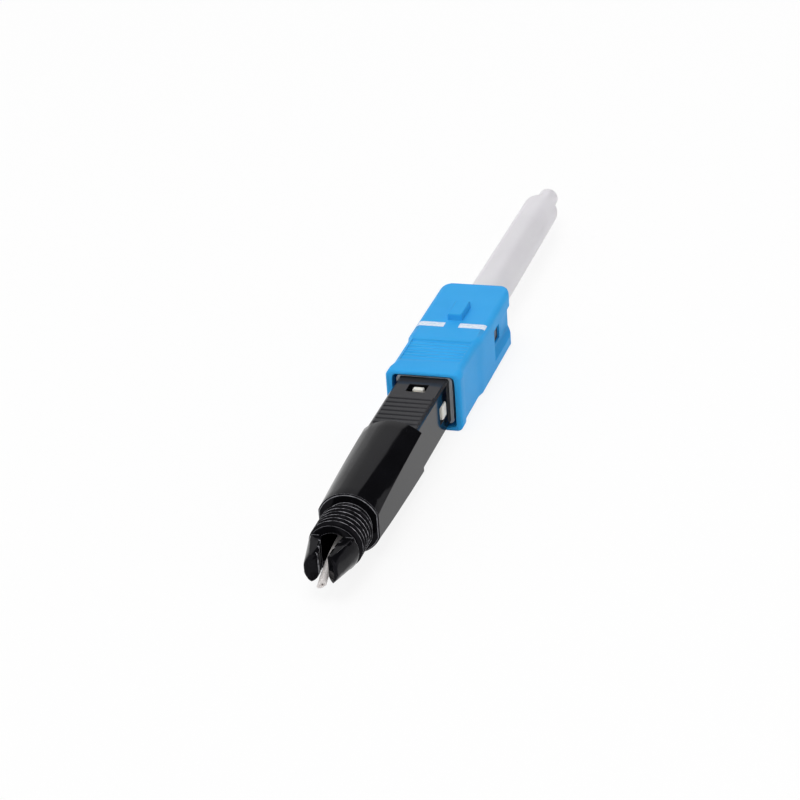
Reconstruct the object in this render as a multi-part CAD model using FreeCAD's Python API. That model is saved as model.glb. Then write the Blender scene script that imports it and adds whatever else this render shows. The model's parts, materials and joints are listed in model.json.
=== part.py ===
import FreeCAD, Part
import math
import os

V = FreeCAD.Vector
os.makedirs("parts", exist_ok=True)

# All sizes are in mm. The connector lies along Y: the optical face looks to +Y, the cable tail to -Y.
# Stations along Y are counted from the rear face of the coupling housing, heights from the fibre axis.

# Fits and allowances
running_gap = 0.08        # round sliding parts, per side
slide_gap = 0.10          # flat sliding faces, per side
sleeve_gap = 0.02         # dust cap over the ferrule, per side
loose_gap = 0.20          # a part that passes a hole without touching, per side
overlap = 0.1             # how deep a raised feature is rooted in its carrier
past = 1.0                # how far a cut runs past the face it opens
match = 0.001             # how near a found edge lies to where it is looked for
corner_steps = 2          # cones that make up a turned round corner
wire_sides = 4            # sides that stand for the round section of the spring wire

# Coupling housing
housing_width = 9.0
housing_height = 7.4
housing_length = 25.3
housing_corner = 0.8
nose_corner = 1.3
nose_edge = 0.5           # rounding of the front's upper and lower edges
rear_edge = 0.2
waist_depth = 0.25
waist_start = 1.5
waist_length = 8.2
waist_ramp = 1.0
side_wall = 1.05
roof_wall = 0.7
cavity_corner = 0.55
mouth_side_wall = 0.78
mouth_roof_wall = 0.45
mouth_depth = 2.8
panel_start = 3.2
panel_length = 5.5
panel_width = 7.2
panel_depth = 0.18
panel_ribs = 6
panel_rib_height = 0.15
key_width = 1.8
key_height = 0.8
key_length = 4.1
key_setback = 6.9         # front end of the key behind the front face
key_edge = 0.15
mark_setback = 11.7       # front line of the marks behind the front face
mark_length = 1.2
mark_inner = 0.9
mark_outer = 4.2
mark_depth = 0.06
channel_length = 9.8
channel_height = 4.0
channel_floor_height = 2.6
channel_depth = 0.72
latch_setback = 4.9       # front end of the latch windows behind the front face
latch_length = 3.5
latch_height = 2.0
housing_travel = 2.0

# Plug frame inside the housing
frame_length = 21.9
frame_recess = 2.9        # front of the frame behind the housing's front face
frame_corner = 0.45
frame_edge = 0.3
bore_wall = 0.25          # wall over the front bore at the top and bottom
web_setback = 4.8
web_thickness = 0.7
socket_depth = 6.5
spigot_wall = 0.42
catch_setback = 9.5       # rear face of the catches ahead of the frame's rear end
catch_length = 1.5
catch_width = 2.6
catch_height = 0.22
latch_notch_depth = 0.45
latch_notch_height = 3.0

# Ferrule, its flange and the splice behind it
ferrule_radius = 1.25
ferrule_length = 10.5
ferrule_recess = 0.5      # optical face behind the housing's front face
ferrule_chamfer = 0.35
ferrule_tip_length = 0.7
ferrule_travel = 1.0      # how far the ferrule and its carrier give way
fibre_radius = 0.0625
fibre_play = 0.0025
carrier_radius = 2.0
carrier_length = 23.4
flange_length = 1.5
flange_notch = 0.5
barrel_radius = 1.6
barrel_length = 2.4
splice_length = 10.3
splice_setback = 1.6
splice_width = 2.1
splice_base_height = 0.9
splice_cover_height = 0.7
clip_thickness = 0.15
clip_lip = 0.45
clip_end_gap = 0.6
pocket_play = 0.05
guide_hole_radius = 0.2
funnel_radius = 1.2
funnel_length = 1.4
key_nub_width = 1.3       # nub on the carrier that plays in the top window of the neck
key_nub_recess = 0.22     # its crest below the neck's top
side_nub_width = 1.8      # nubs in the side windows
side_nub_height = 0.12    # their crests proud of the neck's sides
nub_round = 0.3

# Ferrule spring
spring_radius = 1.6
spring_wire_radius = 0.2
spring_turns = 5.0
spring_length = 6.0

# Main body
body_room_x = 0.76        # loose room to the housing mouth, per side
body_room_z = 0.43
body_length = 12.7
body_corner = 0.3
window_setback = 1.9      # windows behind the front end of the body
window_length = 1.9
window_width = 2.3
side_window_setback = 1.7
side_window_length = 2.6
side_window_height = 2.1
rib_setback = 5.4
rib_pitch = 1.02
rib_count = 7
rib_width = 0.82
rib_crest = 0.64
rib_height = 0.13
rib_margin = 0.35
taper_length = 17.3
taper_crown_radius = 5.0
taper_edge = 0.15
shoulder_radius = 3.62
shoulder_flat = 0.27      # how far the side flats cut into the shoulder's circle

# Threaded tail and clamping jaws
thread_radius = 2.95      # outside of the thread for the clamp nut
thread_length = 4.9
relief_radius = 2.58      # plain groove between the shoulder and the thread
relief_length = 0.5
jaw_length = 4.5
jaw_root_radius = 2.8
jaw_tip_radius = 1.95
jaw_thickness = 1.25      # at the tips
jaw_height = 3.1
jaw_flat = 0.1            # what the rounding leaves of a jaw's upper and lower face at the tip
jaw_round = 0.3
jaw_flare = 0.9           # lead-in that slants in from the tips at 45 degrees
jaw_throat = 1.5
jaw_room = 0.1            # last teeth clear of the guide tube, per side
tooth_count = 3
tooth_depth = 0.26
tooth_back = 0.12
tooth_lead = 0.15
cable_radius = 1.9
cable_length = 8.9
cable_funnel = 1.6

# Guide tube in the fibre inlet
tube_radius = 0.45
tube_hole_radius = 0.2
tube_seat = 2.0           # front end of the tube behind the spring seat
tube_play = 0.05
tube_bend_inside = 8.5    # start of the droop ahead of the jaw tips
tube_bend_radius = 22.0
tube_bend_angle = 22.0
tube_bend_steps = 4       # straight-sided rings that make up the droop
tube_end = 0.3
tube_cut_angle = 35.0

# Dust cap
cap_room = 0.15           # cap in the front bore of the frame, per side
cap_length = 39.0
cap_grip = 5.9            # length of ferrule inside the cap
cap_bore_length = 33.1
cap_edge = 0.25
cap_nub_radius = 1.33
cap_nub_length = 5.0
cap_nub_round = 0.6

# Half sizes that several parts share
half_x = housing_width / 2
half_z = housing_height / 2
cavity_x = half_x - side_wall
cavity_z = half_z - roof_wall
frame_x = cavity_x - slide_gap
frame_z = cavity_z - slide_gap
mouth_x = half_x - mouth_side_wall
mouth_z = half_z - mouth_roof_wall
body_x = mouth_x - body_room_x
body_z = mouth_z - body_room_z
carrier_bore = carrier_radius + running_gap
spigot_radius = carrier_bore + spigot_wall
front_bore = frame_z - bore_wall
cap_radius = front_bore - cap_room
cap_bore = ferrule_radius + sleeve_gap
taper_x = shoulder_radius - shoulder_flat
nub_play = ferrule_travel + 2 * slide_gap
tube_passage = tube_radius + tube_play
jaw_gap = tube_radius + jaw_room

# Stations along the fibre axis, from the front to the tail
ferrule_tip = housing_length - ferrule_recess
ferrule_rear = ferrule_tip - ferrule_length
cap_mouth = ferrule_tip - cap_grip
cap_end = cap_mouth + cap_length
nub_end = cap_end + cap_nub_length
frame_front = housing_length - frame_recess
frame_rear = frame_front - frame_length
web_front = frame_front - web_setback
web_rear = web_front - web_thickness
catch_rear = frame_rear + catch_setback
latch_front = housing_length - latch_setback
latch_rear = latch_front - latch_length
flange_rear = web_rear - flange_length
barrel_rear = flange_rear - barrel_length
splice_front = barrel_rear - splice_setback
splice_rear = splice_front - splice_length
carrier_rear = flange_rear - carrier_length
window_front = frame_rear - window_setback
window_rear = window_front - window_length
side_window_front = frame_rear - side_window_setback
side_window_rear = side_window_front - side_window_length
spring_rear = carrier_rear - spring_length
tube_front = spring_rear - tube_seat
taper_front = frame_rear - body_length
shoulder = taper_front - taper_length
thread_start = shoulder - relief_length
jaw_root = thread_start - thread_length
jaw_tip = jaw_root - jaw_length
cable_front = jaw_root + cable_length
tube_bend = jaw_tip + tube_bend_inside


def box(x0, x1, y0, y1, z0, z1):
    return Part.makeBox(x1 - x0, y1 - y0, z1 - z0, V(x0, y0, z0))


def rod(radius, y0, y1):
    return Part.makeCylinder(radius, y1 - y0, V(0, y0, 0), V(0, 1, 0))


def cone(radius0, y0, radius1, y1):
    return Part.makeCone(radius0, radius1, y1 - y0, V(0, y0, 0), V(0, 1, 0))


def polygon(points):
    return Part.Wire(Part.makePolygon(points + [points[0]]))


def turned(profile):
    """Solid of revolution about the fibre axis from (radius, station) pairs."""
    wire = polygon([V(r, y, 0) for r, y in profile])
    return Part.Face(wire).revolve(V(0, 0, 0), V(0, 1, 0), 360)


def across(profile, half_width):
    """Bar along X, centred, with its profile given as (station, height) pairs."""
    wire = polygon([V(-half_width, y, z) for y, z in profile])
    return Part.Face(wire).extrude(V(2 * half_width, 0, 0))


def section(x, z, corner, y):
    """Rounded rectangle across the axis, as a wire."""
    arcs = []
    for quarter in range(4):
        turns = [math.radians(90 * quarter + part) for part in (0, 45, 90)]
        centre_x = math.copysign(x - corner, math.cos(turns[1]))
        centre_z = math.copysign(z - corner, math.sin(turns[1]))
        arcs.append([V(centre_x + corner * math.cos(a), y, centre_z + corner * math.sin(a)) for a in turns])
    edges = []
    for arc, following in zip(arcs, arcs[1:] + arcs[:1]):
        edges.append(Part.Arc(*arc).toShape())
        edges.append(Part.makeLine(arc[2], following[0]))
    return Part.Wire(edges)


def prism(x, z, corner, y0, y1):
    return Part.Face(section(x, z, corner, y0)).extrude(V(0, y1 - y0, 0))


def loft(*sections):
    return Part.makeLoft(list(sections), True, True)


def swept(path, profile):
    return Part.Wire(path).makePipeShell([Part.Wire(profile)], True, True)


def round_corner(radius, y, corner, way):
    """Profile points of a turned corner, from its side to the end face that looks to way * Y."""
    turns = [math.pi / 2 * i / corner_steps for i in range(corner_steps + 1)]
    return [(radius - corner * (1 - math.cos(t)), y - way * corner * (1 - math.sin(t))) for t in turns]


def both_sides(shape):
    return shape.fuse(shape.mirror(V(0, 0, 0), V(1, 0, 0)))


def top_and_bottom(shape):
    return shape.fuse(shape.mirror(V(0, 0, 0), V(0, 0, 1)))


def housing_block(inset):
    """Outside of the coupling housing, taken in by an even inset: waisted sides and a rounded nose."""
    x = half_x - inset
    z = half_z - inset
    r = housing_corner - inset
    waist_x = x - waist_depth
    waist_end = waist_start + waist_length
    narrow_start = waist_start + waist_ramp
    narrow_end = waist_end - waist_ramp
    block = prism(x, z, r, 0, waist_start)
    block = block.fuse(loft(section(x, z, r, waist_start), section(waist_x, z, r, narrow_start)))
    block = block.fuse(prism(waist_x, z, r, narrow_start, narrow_end))
    block = block.fuse(loft(section(waist_x, z, r, narrow_end), section(x, z, r, waist_end)))
    block = block.fuse(prism(x, z, r, waist_end, housing_length))
    plan = box(-x, x, -past, housing_length - inset, -z, z)
    front = [e for e in plan.Edges if e.BoundBox.YMin > 0]
    upright = plan.makeFillet(nose_corner, [e for e in front if e.BoundBox.ZLength > z])
    level = plan.makeFillet(nose_edge, [e for e in front if e.BoundBox.XLength > x])
    return block.common(upright).common(level).removeSplitter()


def grip_panel():
    """Recess in the roof with cross ribs on its floor."""
    floor = half_z - panel_depth
    end = panel_start + panel_length
    cut = box(-panel_width / 2, panel_width / 2, panel_start, end, floor, half_z + past)
    pitch = panel_length / (panel_ribs + 1)
    for i in range(panel_ribs):
        y = panel_start + pitch * (i + 1)
        crest = (y, floor + panel_rib_height)
        cut = cut.cut(across([(y - pitch / 2, floor), (y + pitch / 2, floor), crest], panel_width / 2))
    return cut


def mark_fields():
    front = housing_length - mark_setback
    return both_sides(box(mark_inner, mark_outer, front - mark_length, front, 0, half_z + past))


def side_channel():
    """Groove for the adapter's hooks along the right side, with sloping walls, open at the front."""
    rear = housing_length - channel_length
    upper = [V(half_x + past, rear, channel_height / 2), V(half_x, rear, channel_height / 2),
             V(half_x - channel_depth, rear, channel_floor_height / 2)]
    lower = [V(p.x, p.y, -p.z) for p in reversed(upper)]
    return Part.Face(polygon(upper + lower)).extrude(V(0, channel_length + past, 0))


def build_housing():
    block = housing_block(0)
    block = block.makeChamfer(rear_edge, [e for e in block.Edges if e.BoundBox.YMax < match])
    block = block.cut(top_and_bottom(grip_panel()))
    block = block.cut(mark_fields().cut(housing_block(mark_depth)))
    key_front = housing_length - key_setback
    key = box(-key_width / 2, key_width / 2, key_front - key_length, key_front,
              half_z - overlap, half_z + key_height)
    key = key.makeChamfer(key_edge, [e for e in key.Edges if e.CenterOfMass.z > half_z])
    block = block.fuse(key)
    block = block.cut(prism(cavity_x, cavity_z, cavity_corner, mouth_depth, housing_length + past))
    block = block.cut(prism(mouth_x, mouth_z, cavity_corner, -past, mouth_depth))
    track_x = catch_width / 2 + slide_gap
    track_front = catch_rear + catch_length + housing_travel + slide_gap
    track = box(-track_x, track_x, catch_rear - slide_gap, track_front, 0, cavity_z + catch_height)
    block = block.cut(top_and_bottom(track))
    window = box(0, half_x, latch_rear, latch_front, -latch_height / 2, latch_height / 2)
    return block.cut(both_sides(side_channel().fuse(window)))


def build_marks():
    return mark_fields().common(housing_block(0)).cut(housing_block(mark_depth))


def build_frame():
    block = prism(frame_x, frame_z, frame_corner, frame_rear, frame_front)
    block = block.makeChamfer(frame_edge, [e for e in block.Edges if e.BoundBox.YMin > frame_front - match])
    catch_top = frame_z + catch_height
    root = frame_z - overlap
    catch_front = catch_rear + catch_length
    catch = across([(catch_rear, root), (catch_rear, catch_top), (catch_rear + catch_length / 2, catch_top),
                    (catch_front, frame_z), (catch_front, root)], catch_width / 2)
    block = block.fuse(top_and_bottom(catch))
    block = block.cut(rod(spigot_radius, frame_rear - past, frame_rear + socket_depth))
    block = block.cut(rod(carrier_bore, frame_rear, web_rear))
    block = block.cut(rod(ferrule_radius + loose_gap, web_rear, web_front))
    block = block.cut(rod(front_bore, web_front, frame_front + past))
    notch = box(frame_x - latch_notch_depth, frame_x + past, latch_rear, latch_front,
                -latch_notch_height / 2, latch_notch_height / 2)
    return block.cut(both_sides(notch))


def build_ferrule():
    hole = fibre_radius + fibre_play
    return turned([(hole, ferrule_rear), (ferrule_radius - ferrule_chamfer, ferrule_rear),
                   (ferrule_radius, ferrule_rear + ferrule_chamfer),
                   (ferrule_radius, ferrule_tip - ferrule_tip_length),
                   (ferrule_radius - ferrule_chamfer, ferrule_tip), (hole, ferrule_tip)])


def build_flange():
    solid = turned([(guide_hole_radius, barrel_rear), (barrel_radius, barrel_rear),
                    (barrel_radius, flange_rear), (carrier_radius, flange_rear),
                    (carrier_radius, web_rear), (ferrule_radius, web_rear),
                    (ferrule_radius, ferrule_rear), (guide_hole_radius, ferrule_rear)])
    slot = box(carrier_radius - flange_notch, carrier_radius + past, flange_rear, web_rear + past,
               -flange_notch / 2, flange_notch / 2)
    return solid.cut(both_sides(slot))


def carrier_nub(width, crest, rear, length):
    """Nub on the carrier's top, rounded off, with room behind it for the ferrule's travel."""
    y0 = rear + ferrule_travel + slide_gap
    nub = box(-width / 2, width / 2, y0, y0 + length, carrier_radius / 2, crest)
    rounding = min(nub_round, length / 3)
    return nub.makeFillet(rounding, [e for e in nub.Edges if e.BoundBox.ZMin > crest - match])


def build_carrier():
    solid = rod(carrier_radius, carrier_rear, flange_rear)
    top_nub = carrier_nub(key_nub_width, body_z - key_nub_recess, window_rear, window_length - nub_play)
    side_nub = carrier_nub(side_nub_width, body_x + side_nub_height, side_window_rear,
                           side_window_length - nub_play)
    side_nub.rotate(V(0, 0, 0), V(0, 1, 0), 90)
    solid = solid.fuse(top_nub).fuse(both_sides(side_nub))
    solid = solid.cut(rod(barrel_radius, barrel_rear, flange_rear + past))
    solid = solid.cut(rod(guide_hole_radius, carrier_rear - past, barrel_rear + past))
    solid = solid.cut(cone(funnel_radius, carrier_rear, guide_hole_radius, carrier_rear + funnel_length))
    pocket_x = splice_width / 2 + clip_thickness + pocket_play
    pocket = box(-pocket_x, pocket_x, splice_rear - pocket_play, splice_front + pocket_play,
                 -splice_base_height - clip_thickness, carrier_radius + past)
    return solid.cut(pocket)


def build_splice_base():
    block = box(-splice_width / 2, splice_width / 2, splice_rear, splice_front, -splice_base_height, 0)
    depth = fibre_radius * math.sqrt(2)
    mouth = depth + overlap
    groove = polygon([V(0, splice_rear - past, -depth), V(mouth, splice_rear - past, overlap),
                      V(-mouth, splice_rear - past, overlap)])
    return block.cut(Part.Face(groove).extrude(V(0, splice_length + 2 * past, 0)))


def build_splice_cover():
    return box(-splice_width / 2, splice_width / 2, splice_rear, splice_front,
               fibre_radius, splice_cover_height)


def build_clip():
    """Folded spring strip that presses the cover on to the base, open along its top."""
    rear = splice_rear + clip_end_gap
    front = splice_front - clip_end_gap
    inner = splice_width / 2
    outer = inner + clip_thickness
    top = splice_cover_height + clip_thickness
    strip = box(-outer, outer, rear, front, -splice_base_height - clip_thickness, top)
    strip = strip.cut(box(-inner, inner, rear - past, front + past,
                          -splice_base_height, splice_cover_height))
    lip = inner - clip_lip
    return strip.cut(box(-lip, lip, rear - past, front + past, 0, top + past))


def build_fibre():
    middle = splice_rear + splice_length / 2
    return rod(fibre_radius, middle, ferrule_tip)


def build_spring():
    rise = spring_length - 2 * spring_wire_radius
    path = Part.makeHelix(rise / spring_turns, rise, spring_radius)
    turns = [2 * math.pi * (i + 0.5) / wire_sides for i in range(wire_sides)]
    coil = swept(path, polygon([V(spring_radius + spring_wire_radius * math.cos(t), 0,
                                  spring_wire_radius * math.sin(t)) for t in turns]))
    coil.rotate(V(0, 0, 0), V(1, 0, 0), -90)
    coil.translate(V(0, spring_rear + spring_wire_radius, 0))
    return coil


def crown():
    """Cone that rounds the handle's top: its upper line falls from the housing's height to the shoulder's."""
    rear = V(0, shoulder, 0)
    run = V(0, taper_front, half_z - taper_crown_radius) - rear
    spare = past / run.Length
    growth = (taper_crown_radius - shoulder_radius) * spare
    solid = Part.makeCone(shoulder_radius - growth, taper_crown_radius + growth, run.Length + 2 * past,
                          rear - run * spare, run)
    solid.rotate(rear, run, 180)  # turns the seam line away from the handle
    return solid


def build_taper():
    """Handle behind the ribs: oblong in front, nearly round at the shoulder, with broken edges."""
    block = box(-taper_x, taper_x, shoulder, taper_front, -half_z - past, half_z + past)
    lower_crown = crown().mirror(V(0, 0, 0), V(0, 0, 1))
    block = block.common(crown()).common(lower_crown)
    return block.makeChamfer(taper_edge, [e for e in block.Edges if e.BoundBox.YLength < match])


def build_stem():
    """Stem for the clamp nut: relief groove, thread and a broken end."""
    edge = thread_radius - jaw_root_radius
    return turned([(0, shoulder + past), (relief_radius, shoulder + past), (relief_radius, thread_start),
                   (thread_radius, thread_start), (thread_radius, jaw_root + edge),
                   (jaw_root_radius, jaw_root), (0, jaw_root)])


def toothed_gap():
    """Space between the jaws: closing towards the tips, with teeth that lean in and a flared mouth."""
    pitch = (jaw_length - jaw_flare - tooth_lead) / tooth_count
    step = (jaw_throat - tooth_depth - jaw_gap) / tooth_count
    right = [V(jaw_throat, jaw_root, -jaw_height)]
    for i in range(tooth_count):
        start = jaw_root - pitch * i
        point = start - pitch + 2 * tooth_back
        x = jaw_throat - step * (i + 1) - tooth_depth
        right.append(V(x + tooth_depth / 2, start - tooth_back, -jaw_height))
        right.append(V(x, point, -jaw_height))
        right.append(V(x + tooth_depth, point - tooth_back, -jaw_height))
    right.append(V(jaw_gap, jaw_tip + jaw_flare, -jaw_height))
    right.append(V(jaw_gap + jaw_flare + past, jaw_tip - past, -jaw_height))
    left = [V(-p.x, p.y, p.z) for p in reversed(right)]
    return Part.Face(polygon(right + left)).extrude(V(0, 0, 2 * jaw_height))


def jaw_bar():
    """Right jaw before its teeth are cut: an oval bar that widens from the tip to the stem."""
    corner = (jaw_thickness - jaw_flat) / 2

    def bar_section(thickness, y):
        wire = section(thickness / 2, jaw_height / 2, corner, y)
        wire.translate(V(jaw_gap + thickness / 2, 0, 0))
        return wire

    return loft(bar_section(jaw_thickness, jaw_tip), bar_section(jaw_root_radius - jaw_gap, jaw_root))


def build_jaws():
    tip_corner = round_corner(jaw_tip_radius, jaw_tip, jaw_round, -1)
    envelope = turned([(0, jaw_root), (jaw_root_radius, jaw_root)] + tip_corner + [(0, jaw_tip)])
    return envelope.common(both_sides(jaw_bar())).cut(toothed_gap())


def body_rib(y):
    root = body_z - overlap
    crest = body_z + rib_height
    return across([(y - rib_width / 2, root), (y - rib_width / 2, body_z), (y - rib_crest / 2, crest),
                   (y + rib_crest / 2, crest), (y + rib_width / 2, body_z), (y + rib_width / 2, root)],
                  body_x - rib_margin)


def build_body():
    block = prism(body_x, body_z, body_corner, taper_front - past, frame_rear)
    block = block.fuse(rod(spigot_radius, frame_rear - past, frame_rear + socket_depth - slide_gap))
    block = block.fuse(build_taper())
    for i in range(rib_count):
        block = block.fuse(top_and_bottom(body_rib(frame_rear - rib_setback - rib_pitch * i)))
    block = block.fuse(build_stem())
    block = block.cut(rod(carrier_bore, spring_rear, frame_rear + socket_depth + past))
    block = block.cut(rod(tube_passage, jaw_root - past, spring_rear + past))
    block = block.cut(cone(cable_radius, cable_front, tube_passage, cable_front + cable_funnel))
    block = block.cut(rod(cable_radius, jaw_root, cable_front))
    block = block.cut(box(-window_width / 2, window_width / 2, window_rear, window_front, 0, body_z + past))
    block = block.cut(both_sides(box(0, body_x + past, side_window_rear, side_window_front,
                                     -side_window_height / 2, side_window_height / 2)))
    return block.fuse(build_jaws())


def build_tube():
    """Thin tube out of the fibre inlet that droops between the jaws and ends in a slanting cut."""
    bend = math.radians(tube_bend_angle)

    def along(turn):
        return V(0, -math.cos(turn), -math.sin(turn))

    def on_bend(turn):
        drop = tube_bend_radius * (1 - math.cos(turn))
        return V(0, tube_bend - tube_bend_radius * math.sin(turn), -drop)

    tip = on_bend(bend) + along(bend) * tube_end
    rings = [(V(0, tube_front, 0), 0)]
    for i in range(tube_bend_steps + 1):
        turn = bend * i / tube_bend_steps
        rings.append((on_bend(turn), turn))
    rings.append((tip + along(bend) * past, bend))

    def drawn(radius):
        return loft(*[Part.Wire(Part.makeCircle(radius, centre, along(turn))) for centre, turn in rings])

    knife = box(-past, past, -2 * past, 0, -past, past)
    knife.rotate(V(0, 0, 0), V(0, 0, 1), tube_cut_angle)
    knife.rotate(V(0, 0, 0), V(1, 0, 0), tube_bend_angle)
    knife.translate(tip)
    return drawn(tube_radius).cut(drawn(tube_hole_radius)).cut(knife)


def build_cap():
    bore_end = cap_mouth + cap_bore_length
    mouth_corner = list(reversed(round_corner(cap_radius, cap_mouth, cap_edge, -1)))
    end_corner = round_corner(cap_radius, cap_end, cap_edge, 1)
    nub_corner = round_corner(cap_nub_radius, nub_end, cap_nub_round, 1)
    hollow = [(0, nub_end), (0, bore_end), (cap_bore, bore_end),
              (cap_bore, cap_mouth + cap_edge), (cap_bore + cap_edge, cap_mouth)]
    return turned(mouth_corner + end_corner + [(cap_nub_radius, cap_end)] + nub_corner + hollow)


nodes = {
    "outer_housing": build_housing(),
    "index_marks": build_marks(),
    "plug_frame": build_frame(),
    "ferrule": build_ferrule(),
    "ferrule_flange": build_flange(),
    "splice_carrier": build_carrier(),
    "splice_base": build_splice_base(),
    "splice_cover": build_splice_cover(),
    "splice_clip": build_clip(),
    "fibre_stub": build_fibre(),
    "ferrule_spring": build_spring(),
    "main_body": build_body(),
    "guide_tube": build_tube(),
    "dust_cap": build_cap(),
}

# The finished part stands with the middle of its length over the origin and its underside at zero height.
tail_end = nodes["guide_tube"].optimalBoundingBox(False, False).YMin
to_rest = V(0, -(nub_end + tail_end) / 2, half_z)
print("moved by", round(to_rest.y, 4), round(to_rest.z, 4))
for name, shape in nodes.items():
    shape.translate(to_rest)
    print(name, "solids", len(shape.Solids), "valid", shape.isValid(), "volume", round(shape.Volume, 3))
    shape.exportStep("parts/" + name + ".step")
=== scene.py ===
import json
import math

import bmesh
import bpy
from mathutils import Matrix, Vector

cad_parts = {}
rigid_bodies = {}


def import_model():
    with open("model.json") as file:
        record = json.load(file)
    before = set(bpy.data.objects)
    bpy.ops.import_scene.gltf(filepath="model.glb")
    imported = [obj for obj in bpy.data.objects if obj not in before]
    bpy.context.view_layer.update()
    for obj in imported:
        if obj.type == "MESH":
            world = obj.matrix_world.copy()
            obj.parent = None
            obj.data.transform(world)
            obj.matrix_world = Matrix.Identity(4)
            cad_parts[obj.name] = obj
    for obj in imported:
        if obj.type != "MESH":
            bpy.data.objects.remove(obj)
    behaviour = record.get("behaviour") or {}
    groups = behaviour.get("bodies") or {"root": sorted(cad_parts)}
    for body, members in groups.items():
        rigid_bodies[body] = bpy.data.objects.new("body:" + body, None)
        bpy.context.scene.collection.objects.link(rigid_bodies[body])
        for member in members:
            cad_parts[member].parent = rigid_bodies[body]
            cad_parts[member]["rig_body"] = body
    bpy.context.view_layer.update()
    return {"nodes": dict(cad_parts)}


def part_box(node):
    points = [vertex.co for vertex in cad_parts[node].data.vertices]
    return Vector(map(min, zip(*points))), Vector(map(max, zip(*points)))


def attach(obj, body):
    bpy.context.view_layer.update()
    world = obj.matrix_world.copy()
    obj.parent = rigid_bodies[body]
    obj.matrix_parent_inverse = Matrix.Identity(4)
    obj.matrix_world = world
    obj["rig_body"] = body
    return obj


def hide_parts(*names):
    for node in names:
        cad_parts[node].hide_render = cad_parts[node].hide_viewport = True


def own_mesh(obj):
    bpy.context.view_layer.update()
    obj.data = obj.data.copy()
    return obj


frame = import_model()
scene = bpy.context.scene
mm = 0.001
weldGap = 0.0005 * mm  # points of a CAD mesh that lie closer than this are one

# The connector lies along Y on its underside. The other pieces are placed from the housing,
# the cap, the fibre axis and the tip of the tail.
housingLow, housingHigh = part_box("outer_housing")
capLow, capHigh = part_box("dust_cap")
axisHeight = (capLow.z + capHigh.z) / 2
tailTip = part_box("main_body")[0].y
print("frame loaded, fibre axis at", round(axisHeight / mm, 3), "mm")


# Small tools

mixShare, mixFirst, mixSecond, mixResult = 0, 6, 7, 2  # sockets of a Mix node that mixes colours


def hexColor(code):
    parts = [int(code[i:i + 2], 16) / 255 for i in (1, 3, 5)]
    linear = [p / 12.92 if p <= 0.04045 else ((p + 0.055) / 1.055) ** 2.4 for p in parts]
    return (*linear, 1.0)


def perMm(size):
    return 1 / (size * mm)  # texture scale whose cells are that many mm wide


def addNode(tree, kind, values=None, links=None, **settings):
    node = tree.nodes.new(kind)
    for name, value in settings.items():
        setattr(node, name, value)
    for name, value in (values or {}).items():
        node.inputs[name].default_value = value
    for name, source in (links or {}).items():
        tree.links.new(source, node.inputs[name])
    return node


def newMaterial(name):
    material = bpy.data.materials.new(name)
    material.use_nodes = True
    material.node_tree.nodes.clear()
    return material, material.node_tree


def closeMaterial(tree, shader):
    addNode(tree, "ShaderNodeOutputMaterial", links={"Surface": shader.outputs[0]})


def bridgeRings(bm, first, second):
    # quads between two rings, triangles where one of them is a point on the axis
    count = max(len(first), len(second))
    if count == 1:
        return
    for k in range(count):
        after = (k + 1) % count
        corners = [first[k % len(first)], first[after % len(first)],
                   second[after % len(second)], second[k % len(second)]]
        bm.faces.new(list(dict.fromkeys(corners)))


def meshFrom(bm, name):
    mesh = bpy.data.meshes.new(name)
    bm.to_mesh(mesh)
    bm.free()
    return mesh


def newPiece(name, mesh, material):
    piece = bpy.data.objects.new(name, mesh)
    scene.collection.objects.link(piece)
    mesh.materials.clear()
    mesh.materials.append(material)
    return piece


def bakeModifiers(piece, material):
    evaluated = piece.evaluated_get(bpy.context.evaluated_depsgraph_get())
    mesh = bpy.data.meshes.new_from_object(evaluated)
    piece.modifiers.clear()
    old = piece.data
    piece.data = mesh
    bpy.data.meshes.remove(old)
    mesh.name = piece.name
    mesh.materials.clear()
    mesh.materials.append(material)


def smoothByAngle(mesh, degrees):
    mesh.polygons.foreach_set("use_smooth", [True] * len(mesh.polygons))
    mesh.set_sharp_from_angle(angle=math.radians(degrees))
    mesh.update()


def seat(piece, node):
    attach(piece, frame["nodes"][node]["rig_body"])
    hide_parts(node)
    print("piece", piece.name, "faces", len(piece.data.polygons))


# Moulded plastics: a colour that drifts a little, a mould texture and an uneven gloss.
# What a plastic doesn't say for itself is as here.
plainMoulding = {"driftDetail": 3.0, "grainDetail": 4.0, "grainFineness": 0.6,
                 "shine": 0.5, "shineTint": "#FFFFFF",
                 "glow": 0.0, "glowRadius": (0.1, 0.1, 0.1), "clear": 0.0}


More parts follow.
